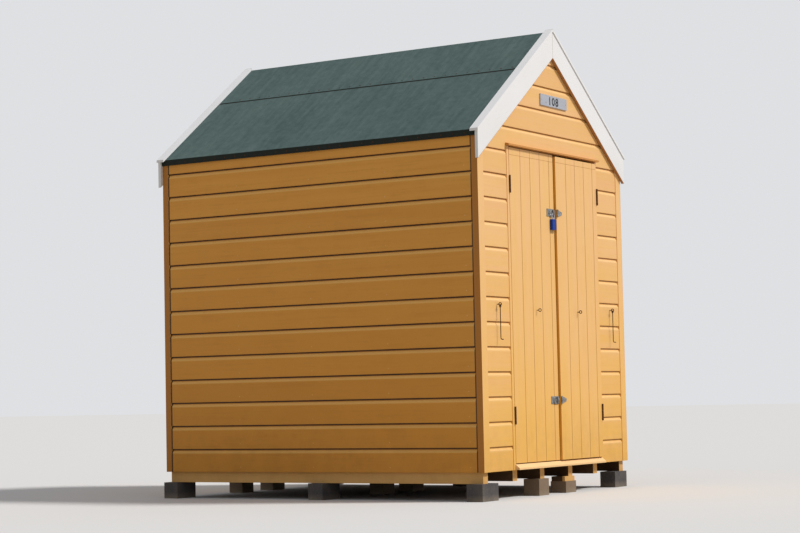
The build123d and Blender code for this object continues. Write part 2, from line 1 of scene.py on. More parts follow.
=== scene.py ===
import math
import bpy
import bmesh
from mathutils import Matrix, Vector


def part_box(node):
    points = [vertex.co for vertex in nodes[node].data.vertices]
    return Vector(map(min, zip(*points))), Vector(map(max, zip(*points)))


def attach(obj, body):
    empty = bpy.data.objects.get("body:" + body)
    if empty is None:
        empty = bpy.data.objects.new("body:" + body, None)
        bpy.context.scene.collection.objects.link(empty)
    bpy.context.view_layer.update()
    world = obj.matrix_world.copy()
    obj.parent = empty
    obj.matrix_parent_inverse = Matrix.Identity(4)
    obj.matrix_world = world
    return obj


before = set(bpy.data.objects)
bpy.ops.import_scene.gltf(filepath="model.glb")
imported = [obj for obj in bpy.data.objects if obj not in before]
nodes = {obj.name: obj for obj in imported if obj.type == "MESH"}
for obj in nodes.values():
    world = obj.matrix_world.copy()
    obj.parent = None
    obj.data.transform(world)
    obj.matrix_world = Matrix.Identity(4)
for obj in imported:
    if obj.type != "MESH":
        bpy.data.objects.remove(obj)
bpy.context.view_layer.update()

print("frame loaded:", len(nodes), "CAD nodes")


def corners(node):
    low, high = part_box(node)
    return Vector(low), Vector(high)


# What the solids say about the hut, in metres
wallLow = corners("left_wall")[0]
sideFace = -wallLow.x
frontFace = corners("front_gable")[0].y
backFace = corners("back_wall")[1].y
middleY = (frontFace + backFace) / 2
halfLength = (backFace - frontFace) / 2
leftDoorLow, leftDoorHigh = corners("left_door")
rightDoorLow, rightDoorHigh = corners("right_door")
panelLow, panelHigh = corners("front_wall_left")
headerLow = corners("front_header")[0]
joistLow, joistHigh = corners("joists")
plateLow, plateHigh = corners("number_plate")
plateMid = (plateLow + plateHigh) / 2
strapLow, strapHigh = corners("left_hasp_straps")
wingLow = corners("right_hasp_plates")[0]
ridgeHigh = corners("felt_ridge_sheet")[1]
eaveLow, eaveHigh = corners("felt_lower_sheets")
boardCover = 0.138     # the height that each weatherboard shows
boardsStart = 0.002    # the boards are counted from this far under the side walls
lapDatum = wallLow.z - boardsStart
roofPitch = 36.5       # degrees
slopeAngle = math.radians(roofPitch)


# A wire is one socket of a node tree, and sums on wires add Math nodes

class Wire:
    def __init__(self, maker, socket):
        self.maker = maker
        self.socket = socket

    def maths(self, operation, *values):
        return self.maker.node("ShaderNodeMath", {"operation": operation}, dict(enumerate(values)))[0]

    def __add__(self, other):
        return self.maths("ADD", self, other)

    def __radd__(self, other):
        return self.maths("ADD", other, self)

    def __sub__(self, other):
        return self.maths("SUBTRACT", self, other)

    def __rsub__(self, other):
        return self.maths("SUBTRACT", other, self)

    def __mul__(self, other):
        return self.maths("MULTIPLY", self, other)

    def __rmul__(self, other):
        return self.maths("MULTIPLY", other, self)

    def __truediv__(self, other):
        return self.maths("DIVIDE", self, other)

    def __rtruediv__(self, other):
        return self.maths("DIVIDE", other, self)

    def larger(self, other):
        return self.maths("MAXIMUM", self, other)

    def floored(self):
        return self.maths("FLOOR", self)

    def size(self):
        return self.maths("ABSOLUTE", self)

    def sine(self):
        return self.maths("SINE", self)

    def clamped(self):
        return self.maker.node("ShaderNodeClamp", {}, {"Value": self})[0]

    def below(self, edge, soft):   # 1 under the edge, fading to 0 over soft
        return ((edge - self) / soft + 0.5).clamped()

    def above(self, edge, soft):
        return ((self - edge) / soft + 0.5).clamped()

    def within(self, low, high, soft):
        return self.above(low, soft) * self.below(high, soft)


class NodeMaker:
    def __init__(self, tree):
        self.tree = tree
        self.tree.nodes.clear()

    def node(self, kind, settings, values, *names):   # gives the outputs that are named, or all
        made = self.tree.nodes.new(kind)
        for key, value in settings.items():
            setattr(made, key, value)
        for key, value in values.items():
            if isinstance(value, Wire):
                self.tree.links.new(value.socket, made.inputs[key])
            else:
                made.inputs[key].default_value = value
        if names:
            return [Wire(self, made.outputs[name]) for name in names]
        return [Wire(self, socket) for socket in made.outputs]

    def watched(self):   # 1 where the camera looks, also in metal and through glass
        kinds = ("Is Camera Ray", "Is Glossy Ray", "Is Transmission Ray")
        camera, glossy, through = self.node("ShaderNodeLightPath", {}, {}, *kinds)
        return camera.larger(glossy).larger(through)


class Shader(NodeMaker):
    def __init__(self, name, metallic=0.0, specular=0.5):
        self.material = bpy.data.materials.new(name)
        self.material.use_nodes = True
        super().__init__(self.material.node_tree)
        self.shine = {"Metallic": metallic, "Specular IOR Level": specular}
        self.place = self.node("ShaderNodeTexCoord", {}, {}, "Object")[0]
        self.x, self.y, self.z = self.node("ShaderNodeSeparateXYZ", {}, {0: self.place})

    def stretched(self, scale):
        return self.node("ShaderNodeMapping", {}, {"Vector": self.place, "Scale": scale})[0]

    def drawnOut(self, axis, scales):   # scales are along the axis and across it
        along, across = scales
        return self.stretched([along if letter == axis else across for letter in "xyz"])

    def noise(self, where, scale, detail=3, rough=0.55):
        values = {"Vector": where, "Scale": scale, "Detail": detail, "Roughness": rough}
        return self.node("ShaderNodeTexNoise", {}, values, "Fac")[0]

    def grain(self, axis, scales, detail=3, rough=0.55):
        return self.noise(self.drawnOut(axis, scales), 1.0, detail, rough)

    def cells(self, where, scale):
        return self.node("ShaderNodeTexVoronoi", {}, {"Vector": where, "Scale": scale}, "Distance")[0]

    def chance(self, number):
        return self.node("ShaderNodeTexWhiteNoise", {"noise_dimensions": "1D"}, {"W": number}, "Value")[0]

    def blend(self, amount, first, second):   # inputs 6 and 7 of a Mix node are its two colours
        first = first if isinstance(first, Wire) else (*first, 1)
        second = second if isinstance(second, Wire) else (*second, 1)
        return self.node("ShaderNodeMix", {"data_type": "RGBA"}, {0: amount, 6: first, 7: second})[2]

    def finish(self, colour, roughness, height=None, depth=0.001, strength=1.0):
        values = {"Base Color": colour, "Roughness": roughness, **self.shine}
        if height is not None:
            relief = {"Height": height, "Distance": depth, "Strength": strength}
            values["Normal"] = self.node("ShaderNodeBump", {}, relief)[0]
        surface = self.node("ShaderNodeBsdfPrincipled", {}, values)[0]
        self.node("ShaderNodeOutputMaterial", {}, {"Surface": surface})
        return self.material


hutPaintLook = {
    "low": (0.83, 0.470, 0.100),         # the paint near the ground
    "high": (0.86, 0.535, 0.230),        # and higher up, paler: bleached paint and painted sky light from above
    "paleFrom": 0.2,
    "paleOver": 1.4,
    "inner": (0.82, 0.490, 0.160),       # a boarded wall, behind its outer skin
    "skin": 0.012,
    "skinSoft": 0.002,
    "rosy": (0.86, 0.500, 0.250),
    "deep": (0.70, 0.340, 0.080),
    "deepAmount": 0.55,
    "boardTone": 0.20,                   # how much one board differs from the next
    # a painted highlight on the lip of each cove, under the lap, where it faces up
    "lipHighlight": (0.92, 0.620, 0.300),
    "lipFrom": 0.80,                     # heights on a board are shares of its cover
    "lip": 0.40,
    "shade": (0.31, 0.115, 0.014),       # painted shade, with some dirt, in the cove and at the foot of a board
    "coveEdge": 0.955,
    "coveShadeAndDirt": 0.66,
    "footEdge": 0.035,
    "footShadeAndDirt": 0.10,
    "splash": (0.42, 0.240, 0.085),      # dirt thrown up from the ground
    "splashTop": 0.34,
    "splashFade": 0.40,
    "splashAmount": 0.42,
    "flecks": 0.35,
    "brushScale": (2.5, 70),             # along the grain and across it
    "fibreScale": (9, 420),
    "streakScale": (0.9, 22),
    "patchScale": 1.6,
    "mottleScale": 11,
    "speckleScale": 240,
    "roughness": 0.42,
    "relief": 0.0011,
}
# The side walls: the paint darker and deeper orange, as painted shade and as paint that the sun has
# bleached less, with a brighter painted highlight and near-black painted shade at each lap
shadedSidePaintLook = {
    **hutPaintLook,
    "low": (0.69, 0.292, 0.032),
    "high": (0.80, 0.380, 0.066),
    "rosy": (0.74, 0.330, 0.050),
    "deep": (0.46, 0.175, 0.020),
    "lipHighlight": (0.90, 0.520, 0.150),
    "lip": 0.80,
    "shade": (0.035, 0.014, 0.004),
    "coveEdge": 0.938,
    "coveShadeAndDirt": 0.95,
    "splash": (0.30, 0.150, 0.040),
}
cillLook = {**hutPaintLook, "low": (0.90, 0.615, 0.310), "splash": (0.66, 0.430, 0.220)}
# The drip bar, door head and threshold in a deeper orange brown: painted shade
shadedBarLook = {
    **hutPaintLook,
    "low": (0.56, 0.245, 0.045),
    "high": (0.58, 0.260, 0.060),
    "rosy": (0.56, 0.240, 0.050),
}


# A boarded wall has a seed, which picks each board's own tone

def hutPaint(name, axis, look=hutPaintLook, wallSeed=None, marks=None):
    paint = Shader(name, specular=0.35)
    brushed = paint.grain(axis, look["brushScale"], 5, 0.6)
    fibre = paint.grain(axis, look["fibreScale"], 4, 0.6)
    streaks = paint.grain(axis, look["streakScale"], 4, 0.6)
    patches = paint.noise(paint.place, look["patchScale"], 4)
    mottle = paint.noise(paint.place, look["mottleScale"], 5, 0.6)
    speckle = paint.noise(paint.place, look["speckleScale"], 2)
    # paler higher up: partly bleached paint, partly painted sky light from above
    height = ((paint.z - look["paleFrom"]) / look["paleOver"]).clamped()
    bleachedAndSkyLit = (height * 0.85 + (patches - 0.5) * 0.9).clamped()
    colour = paint.blend(bleachedAndSkyLit, look["low"], look["high"])
    if wallSeed:
        sideways = paint.x.size().above(sideFace - look["skin"], look["skinSoft"])
        endways = (paint.y - middleY).size().above(halfLength - look["skin"], look["skinSoft"])
        outer = sideways.larger(endways)
        outside = outer * 0.75 + 0.25
        colour = paint.blend(outer, look["inner"], colour)
    colour = paint.blend(streaks.above(0.52, 0.20) * (height * 0.45 + 0.15), colour, look["rosy"])
    brushing = ((brushed - 0.5) * 1.3 + (mottle - 0.5) * 0.8).clamped()
    colour = paint.blend(brushing * look["deepAmount"], colour, look["deep"])
    if wallSeed:
        level = (paint.z - lapDatum) / boardCover
        board = level.floored()
        colour = paint.blend(paint.chance(board + wallSeed) * look["boardTone"], colour, look["deep"])
        up = level - board
        # a painted highlight on the lip below each lap
        lip = up.above(look["lipFrom"], 0.05) * up.below(look["coveEdge"] - 0.03, 0.03)
        # painted shade, with some dirt, in the cove under each lap and at the foot of each board
        cove = up.above(look["coveEdge"], 0.04) * (0.85 + mottle * 0.4)
        foot = up.below(look["footEdge"], 0.05) * (mottle + 0.2)
        colour = paint.blend(lip * outside * look["lip"], colour, look["lipHighlight"])
        shadeAndDirt = (cove * look["coveShadeAndDirt"] + foot * look["footShadeAndDirt"]).clamped()
        colour = paint.blend(shadeAndDirt * outside, colour, look["shade"])
    thrown = (mottle * 1.4 + patches * 0.8 - 0.55).clamped()
    splash = paint.z.below(look["splashTop"], look["splashFade"]) * thrown
    colour = paint.blend(splash * look["splashAmount"], colour, look["splash"])
    flecks = speckle.above(0.72, 0.06) * mottle.above(0.58, 0.15)
    colour = paint.blend(flecks * look["flecks"], colour, look["splash"])
    if marks:
        for mask, tint in marks(paint):
            colour = paint.blend(mask, colour, tint)
    roughness = look["roughness"] + patches * 0.18 + splash * 0.25
    relief = brushed * 0.5 + fibre * 0.35 + speckle * 0.12
    return paint.finish(colour, roughness, relief, look["relief"], 0.55)


# Marks are painted shade and dark lines on a part: each is a mask and its colour

leafLook = {
    "firstJoint": 0.128,               # from the leaf's left edge to its first board joint
    "cover": 0.1145,
    # painted shade in the grooves between the boards
    "grooveHalf": 0.0024,
    "grooveSoft": 0.0012,
    "grooveShade": 0.70,
    "bandDown": 0.042,                 # a darker level line on both leaves, down from the left one's top
    "bandHalf": 0.00144,
    "bandSoft": 0.0010,
    "bandDark": 0.45,
    "shadeAndDirt": (0.40, 0.185, 0.036),
    # the leaves' edge faces in a deeper orange: painted shade
    "edgeDepth": 0.0008,
    "edgeSoft": 0.0006,
    "edge": (0.84, 0.415, 0.060),
}


def leafMarks(low, high):
    look = leafLook

    def marks(paint):
        board = (paint.x - (low.x + look["firstJoint"])) / look["cover"]
        nearest = (board + 0.5).floored()
        aside = (board - nearest).size() * look["cover"]
        groove = aside.below(look["grooveHalf"], look["grooveSoft"]) * board.above(-0.5, 0.1)
        fromBand = (paint.z - (leftDoorHigh.z - look["bandDown"])).size()
        band = fromBand.below(look["bandHalf"], look["bandSoft"])
        # painted shade on both edge faces
        leftEdge = paint.x.below(low.x + look["edgeDepth"], look["edgeSoft"])
        rightEdge = paint.x.above(high.x - look["edgeDepth"], look["edgeSoft"])
        return [
            (groove * look["grooveShade"], look["shadeAndDirt"]),
            (band * look["bandDark"], look["shadeAndDirt"]),
            (leftEdge.larger(rightEdge), look["edge"]),
        ]

    return marks


postLook = {
    "width": 0.038,                    # a corner board's on the side wall
    "proud": 0.003,
    "flankFrom": 0.0022,
    # the corner boards' side faces in dark brown: painted shade
    "shadedFlank": (0.47, 0.185, 0.026),
    # a near-black band on the side walls beside each corner board: painted shadow
    "jointShadow": (0.030, 0.012, 0.004),
    "jointWidth": 0.009,
    "jointAmount": 0.95,
}


def postMarks(paint):
    shadedFlank = paint.x.size().above(sideFace + postLook["flankFrom"], 0.0008)
    return [(shadedFlank, postLook["shadedFlank"])]


def sideMarks(paint):
    reach = halfLength + postLook["proud"] - postLook["width"]
    # painted shadow on the side wall beside each corner board
    jointShadow = (paint.y - middleY).size().above(reach - postLook["jointWidth"], 0.003)
    return [(jointShadow * postLook["jointAmount"], postLook["jointShadow"])]


joistLook = {
    **hutPaintLook,
    "low": (0.70, 0.405, 0.125),
    "bare": (0.070, 0.036, 0.014),     # near black, painted shade on the faces under the hut; only the outermost faces are painted
    "paintDepth": 0.0015,
    "shadow": (0.045, 0.020, 0.006),   # under the wall
    "shadowDepth": 0.012,
    "shadowAmount": 0.85,
}


def joistMarks(paint):
    look = joistLook
    depth = look["paintDepth"]
    between = paint.y.within(joistLow.y + depth, joistHigh.y - depth, 0.001)
    inside = paint.x.within(joistLow.x + depth, joistHigh.x - depth, 0.001)
    top = paint.z.above(joistHigh.z - look["shadowDepth"], 0.008)
    return [(between * inside, look["bare"]), (top * between * look["shadowAmount"], look["shadow"])]


whitePaintLook = {
    "clean": (0.830, 0.842, 0.885),
    "aged": (0.765, 0.768, 0.780),
    "agedAmount": 0.6,
    "grime": (0.42, 0.41, 0.37),
    "grimeTop": 1.96,
    "grimeFade": 0.35,
    "grimeAmount": 0.35,
    "bare": (0.30, 0.22, 0.15),        # wood where the paint has chipped
    "bareAmount": 0.7,
    "mitre": (0.36, 0.31, 0.25),
    "mitreHalf": 0.0016,
    "mitreAmount": 0.8,
    # the boards' lower edges: painted shade with a painted orange reflection of the walls
    "shadedUnderEdge": (0.46, 0.215, 0.070),
    "underDepth": 0.0014,
    "grainScale": (3, 80, 80),
    "patchScale": 3.5,
    "speckleScale": 130,
    "relief": 0.0010,
}


def whitePaint(name, turn, board):
    look = whitePaintLook
    paint = Shader(name, specular=0.4)
    turned = {"Vector": paint.place, "Angle": turn}
    along = paint.node("ShaderNodeVectorRotate", {"rotation_type": "Y_AXIS"}, turned)[0]
    drawn = paint.node("ShaderNodeMapping", {}, {"Vector": along, "Scale": look["grainScale"]})[0]
    grain = paint.noise(drawn, 1.0, 5, 0.6)
    patches = paint.noise(paint.place, look["patchScale"], 4)
    speckle = paint.noise(paint.place, look["speckleScale"], 3)
    aged = (patches * 1.5 - 0.55).clamped()
    colour = paint.blend(aged * look["agedAmount"], look["clean"], look["aged"])
    grimy = paint.z.below(look["grimeTop"], look["grimeFade"]) * (patches * 1.6 - 0.45).clamped()
    colour = paint.blend(grimy * look["grimeAmount"], colour, look["grime"])
    chips = speckle.above(0.69, 0.03) * patches.above(0.60, 0.10)
    colour = paint.blend(chips * look["bareAmount"], colour, look["bare"])
    mitre = paint.x.size().below(look["mitreHalf"], 0.0012)
    colour = paint.blend(mitre * look["mitreAmount"], colour, look["mitre"])
    # painted shade and orange reflection on the boards' lower edges
    upright, sideways = math.cos(slopeAngle), math.sin(slopeAngle)
    points = [vertex.co for vertex in nodes[board].data.vertices]
    lowest = min(point.z * upright + abs(point.x) * sideways for point in points)
    offset = paint.z * upright + paint.x.size() * sideways   # distance square to the slope
    colour = paint.blend(offset.below(lowest + look["underDepth"], 0.001), colour, look["shadedUnderEdge"])
    relief = grain * 0.6 + speckle * 0.15 - chips * 0.5
    return paint.finish(colour, 0.40 + patches * 0.15, relief, look["relief"], 0.5)


feltLook = {
    "stone": (0.058, 0.104, 0.104),
    "pale": (0.135, 0.200, 0.196),
    "dark": (0.022, 0.044, 0.044),
    "darkAmount": 0.30,
    "grainAmount": 0.35,
    "moss": (0.085, 0.120, 0.052),
    "mossAmount": 0.25,
    "edge": (0.012, 0.013, 0.009),     # near black at the eaves and along the lap: painted shade
    "edgeDepth": 0.0015,
    "edgeAmount": 0.92,
    "lapIn": 0.0012,
    "lapOut": 0.007,
    "gritScale": 520,
    "grainScale": 700,
    "cloudScale": 2.2,
    "runScale": (34, 3),               # along the roof and down it
    "rollScale": (1.2, 5),
    "blotchScale": 26,
    "relief": 0.0028,
}


def roofFelt():
    look = feltLook
    felt = Shader("roofFelt", specular=0.25)
    grit = felt.noise(felt.place, look["gritScale"], 2, 0.7)
    grains = felt.cells(felt.place, look["grainScale"])
    cloud = felt.noise(felt.place, look["cloudScale"], 5, 0.6)
    runs = felt.grain("y", look["runScale"], 4, 0.6)
    rolls = felt.grain("y", look["rollScale"])
    blotch = felt.noise(felt.place, look["blotchScale"], 4, 0.65)
    faded = (cloud * 0.7 + (runs - 0.5) + (blotch - 0.5) * 1.1).clamped()
    colour = felt.blend(faded, look["stone"], look["pale"])
    colour = felt.blend(grit.above(0.56, 0.10) * look["darkAmount"], colour, look["dark"])
    colour = felt.blend(grains.below(0.22, 0.15) * look["grainAmount"], colour, look["pale"])
    colour = felt.blend(cloud.above(0.66, 0.12) * runs * look["mossAmount"], colour, look["moss"])
    aside = felt.x.size()
    eave = aside.above(eaveHigh.x - look["edgeDepth"], 0.001)
    lapFrom, lapTo = ridgeHigh.x - look["lapIn"], ridgeHigh.x + look["lapOut"]
    lap = aside.above(lapFrom, 0.0008) * aside.below(lapTo, 0.003)
    # painted shade at the eaves and under the lap
    colour = felt.blend((eave + lap).clamped() * look["edgeAmount"], colour, look["edge"])
    relief = grit * 0.35 + grains * 0.2 + rolls * 1.6 + cloud * 0.5
    return felt.finish(colour, 0.92, relief, look["relief"], 0.7)


timberLook = {
    "sap": (0.470, 0.300, 0.150),
    "heart": (0.330, 0.180, 0.075),
    "knot": (0.130, 0.060, 0.025),
    "knotAmount": 0.75,
    "aged": (0.300, 0.235, 0.160),
    "agedAmount": 0.5,
    "bendScale": (1.1, 9),
    "ringScale": (1.4, 42),
    "fibreScale": (14, 520),
    "knotScale": (1.6, 7),
    "dustScale": 2.6,
    "relief": 0.0009,
}


def bareTimber(name, axis):
    look = timberLook
    timber = Shader(name, specular=0.3)
    bend = timber.grain(axis, look["bendScale"])
    rings = timber.grain(axis, look["ringScale"], 6, 0.65)
    fibre = timber.grain(axis, look["fibreScale"])
    figure = ((rings * 3.2 + bend * 2.0) * math.tau).sine()
    heart = (figure * 0.32 + 0.45 + (bend - 0.5) * 0.7).clamped()
    colour = timber.blend(heart, look["sap"], look["heart"])
    knots = timber.cells(timber.drawnOut(axis, look["knotScale"]), 1.0).below(0.11, 0.07)
    colour = timber.blend(knots * look["knotAmount"], colour, look["knot"])
    dusty = (timber.noise(timber.place, look["dustScale"], 4) * 1.2 - 0.3).clamped()
    colour = timber.blend(dusty * look["agedAmount"], colour, look["aged"])
    relief = figure * 0.15 + fibre * 0.6 + rings * 0.5
    return timber.finish(colour, 0.68 + fibre * 0.12, relief, look["relief"], 0.5)


padLook = {
    "dark": (0.062, 0.062, 0.072),     # the outer pads
    "brown": (0.210, 0.150, 0.105),    # and those within outerFrom of the middle
    "outerFrom": 0.60,
    "dust": (0.330, 0.270, 0.200),
    "dustTop": 0.022,
    "cloudDust": 0.35,
    "footDust": 0.8,
    "sandDust": 0.25,
    "pit": (0.03, 0.03, 0.035),
    "pitAmount": 0.5,
    "cloudScale": 9,
    "sandScale": 190,
    "pitScale": 120,
    "relief": 0.0030,
}


def concrete():
    look = padLook
    block = Shader("concretePad", specular=0.25)
    clouds = block.noise(block.place, look["cloudScale"], 5, 0.6)
    sand = block.noise(block.place, look["sandScale"], 3, 0.6)
    pits = block.cells(block.place, look["pitScale"]).below(0.16, 0.10)
    base = block.blend(block.x.size().below(look["outerFrom"], 0.02), look["dark"], look["brown"])
    colour = block.blend((clouds * 1.3 - 0.35).clamped() * look["cloudDust"], base, look["dust"])
    foot = block.z.below(look["dustTop"], 0.03) * clouds
    colour = block.blend(foot * look["footDust"], colour, look["dust"])
    colour = block.blend(sand.above(0.60, 0.08) * look["sandDust"], colour, look["dust"])
    colour = block.blend(pits * look["pitAmount"], colour, look["pit"])
    return block.finish(colour, 0.9, sand * 0.6 - pits * 0.7 + clouds * 0.5, look["relief"], 0.8)


zincLook = {
    "pale": (0.54, 0.54, 0.54),
    "dull": (0.125, 0.125, 0.120),
    "rough": 0.32,
    "weathered": (0.16, 0.095, 0.038),   # the eye on the left leaf, between the two hasps
    "weatheredMid": 1.05,
    "weatheredReach": 0.2,
    "weatheredAmount": 0.85,
    "rust": (0.20, 0.085, 0.03),
    "rustAmount": 0.55,
    "spangleScale": 160,
    "hazeScale": 60,
    "blotchScale": 75,
    "rustScale": 95,
    "relief": 0.0004,
}
platedLook = {**zincLook, "pale": (0.66, 0.67, 0.70), "dull": (0.50, 0.51, 0.54), "rough": 0.22}


def zinc(name, look):
    metal = Shader(name, metallic=0.9)
    cells = {"Vector": metal.place, "Scale": look["spangleScale"]}
    spangle = metal.node("ShaderNodeTexVoronoi", {}, cells, "Color")[0]
    tint = metal.node("ShaderNodeSeparateColor", {}, {0: spangle})[0]
    haze = metal.noise(metal.place, look["hazeScale"], 4, 0.6)
    blotch = metal.noise(metal.place, look["blotchScale"], 3, 0.6).above(0.50, 0.12)
    dulled = (tint * 0.4 + haze * 0.4 + blotch * 0.35).clamped()
    colour = metal.blend(dulled, look["pale"], look["dull"])
    weathered = (metal.z - look["weatheredMid"]).size().below(look["weatheredReach"], 0.01)
    colour = metal.blend(weathered * look["weatheredAmount"], colour, look["weathered"])
    rust = metal.noise(metal.place, look["rustScale"], 4, 0.7).above(0.64, 0.06)
    colour = metal.blend(rust * look["rustAmount"], colour, look["rust"])
    roughness = look["rough"] + haze * 0.2 + rust * 0.25
    return metal.finish(colour, roughness, haze * 0.5 + rust * 0.6, look["relief"], 0.6)


ironLook = {
    "dark": (0.026, 0.013, 0.008),
    "rust": (0.090, 0.033, 0.011),
    "worn": (0.24, 0.17, 0.11),
    "wornAmount": 0.5,
    "hazeScale": 90,
    "fineScale": 420,
    "relief": 0.0006,
}
hingeLook = {**ironLook, "dark": (0.065, 0.028, 0.013), "rust": (0.160, 0.060, 0.020)}


def rustySteel(name, look):
    metal = Shader(name, specular=0.2)
    haze = metal.noise(metal.place, look["hazeScale"], 5, 0.7)
    fine = metal.noise(metal.place, look["fineScale"], 3, 0.6)
    colour = metal.blend(haze.above(0.50, 0.18), look["dark"], look["rust"])
    colour = metal.blend(haze.below(0.34, 0.06) * look["wornAmount"], colour, look["worn"])
    return metal.finish(colour, 0.70 + haze * 0.2, haze * 0.7 + fine * 0.4, look["relief"], 0.7)


lockLook = {
    "deep": (0.0015, 0.024, 0.23),
    "bright": (0.003, 0.052, 0.37),
    "scuff": (0.10, 0.19, 0.55),
    "scuffAmount": 0.5,
    "hazeScale": 45,
    "fineScale": 520,
    "relief": 0.0003,
}


def blueCoat():
    look = lockLook
    coat = Shader("blueCoat", specular=0.25)
    haze = coat.noise(coat.place, look["hazeScale"], 4)
    fine = coat.noise(coat.place, look["fineScale"], 3, 0.7)
    colour = coat.blend(haze, look["deep"], look["bright"])
    scuffs = fine.above(0.66, 0.04) * haze.above(0.52, 0.10)
    colour = coat.blend(scuffs * look["scuffAmount"], colour, look["scuff"])
    return coat.finish(colour, 0.34 + haze * 0.2, fine * 0.3 + haze * 0.3, look["relief"], 0.4)


plateLook = {
    "grey": (0.36, 0.385, 0.45),
    "wiped": (0.53, 0.555, 0.62),
    "stain": (0.24, 0.215, 0.21),
    "stainAmount": 0.45,
    "wipeScale": (6, 30, 130),
    "hazeScale": 24,
    "relief": 0.0005,
}


def platePaint():
    look = plateLook
    face = Shader("plateGrey", metallic=0.35)
    wiped = face.noise(face.stretched(look["wipeScale"]), 1.0, 5, 0.6)
    haze = face.noise(face.place, look["hazeScale"], 5, 0.6)
    colour = face.blend((wiped * 0.7 + haze * 0.6 - 0.15).clamped(), look["grey"], look["wiped"])
    colour = face.blend(haze.above(0.62, 0.05) * look["stainAmount"], colour, look["stain"])
    return face.finish(colour, 0.42 + haze * 0.2, wiped * 0.5 + haze * 0.5, look["relief"], 0.5)


inkLook = {
    "black": (0.014, 0.014, 0.020),
    "worn": (0.20, 0.21, 0.24),
    "wornAmount": 0.5,
    "wearScale": 210,
    "relief": 0.0002,
}


def inkBlack():
    look = inkLook
    ink = Shader("plateInk", specular=0.4)
    wear = ink.noise(ink.place, look["wearScale"])
    colour = ink.blend(wear.above(0.66, 0.08) * look["wornAmount"], look["black"], look["worn"])
    return ink.finish(colour, 0.55, wear, look["relief"], 0.3)


paintUpright = hutPaint("hutPaintUpright", "z")
galvanised = zinc("galvanised", zincLook)
rusty = rustySteel("rustySteel", ironLook)
plateInk = inkBlack()
finishes = {
    hutPaint("hutPaintFront", "x", wallSeed=3): [
        "front_wall_left", "front_wall_right", "front_header", "front_gable", "back_wall",
    ],
    hutPaint("hutPaintSide", "y", shadedSidePaintLook, wallSeed=40, marks=sideMarks): ["left_wall", "right_wall"],
    paintUpright: ["door_jambs"],
    hutPaint("hutPaintPosts", "z", marks=postMarks): ["corner_trims"],
    hutPaint("hutPaintLeftLeaf", "z", marks=leafMarks(leftDoorLow, leftDoorHigh)): ["left_door"],
    hutPaint("hutPaintRightLeaf", "z", marks=leafMarks(rightDoorLow, rightDoorHigh)): ["right_door"],
    hutPaint("hutPaintLevel", "x", cillLook): ["cill"],
    hutPaint("hutPaintBar", "x", shadedBarLook): ["door_head", "drip_bar", "threshold"],
    hutPaint("hutPaintJoists", "y", joistLook, marks=joistMarks): ["joists", "packing_piece"],
    whitePaint("whitePaintLeft", slopeAngle, "left_bargeboards"): ["left_bargeboards", "left_barge_caps"],
    whitePaint("whitePaintRight", -slopeAngle, "right_bargeboards"): [
        "right_bargeboards", "right_barge_caps",
    ],
    roofFelt(): ["felt_lower_sheets", "felt_ridge_sheet"],
    bareTimber("timberAcross", "x"): [
        "floor", "end_wall_plates", "left_door_ledges", "right_door_ledges",
    ],
    bareTimber("timberDeep", "y"): ["side_wall_plates", "roof_timbers", "roof_left", "roof_right"],
    bareTimber("timberUpright", "z"): ["wall_studs"],
    concrete(): ["pads"],
    platePaint(): ["number_plate"],
    galvanised: ["left_hasp_straps", "left_door_staples", "right_hasp_plates"],
    zinc("platedSteel", platedLook): ["padlock_shackle"],
    rusty: ["hook_eyes", "left_hook", "right_hook", "right_door_eye"],
    rustySteel("rustyHinge", hingeLook): ["frame_hinges", "left_door_hinges", "right_door_hinges"],
    blueCoat(): ["padlock_body"],
}
print("materials made")

for material, names in finishes.items():
    for name in names:
        mesh = nodes[name].data
        mesh.materials.clear()
        mesh.materials.append(material)
print("finishes given to", sum(len(names) for names in finishes.values()), "nodes")


def placed(name, data):
    made = bpy.data.objects.new(name, data)
    bpy.context.scene.collection.objects.link(made)
    return made


def plainMesh(source):   # what a modifier or a text makes, as a mesh of its own
    seen = source.evaluated_get(bpy.context.evaluated_depsgraph_get())
    return bpy.data.meshes.new_from_object(seen)


# Fixings: a Geometry Nodes tree lays heads in rows, and each set becomes a plain mesh

headLook = {"segments": 10, "rings": 6, "smallest": 0.93, "largest": 1.07}
rowInputs = {
    "Start": "NodeSocketVector",
    "Along": "NodeSocketVector",
    "Along Count": "NodeSocketInt",
    "Across": "NodeSocketVector",
    "Across Count": "NodeSocketInt",
    "Head Radius": "NodeSocketFloat",
    "Head Rise": "NodeSocketFloat",
    "Turn": "NodeSocketVector",
    "Seed": "NodeSocketInt",
    "Finish": "NodeSocketMaterial",
}


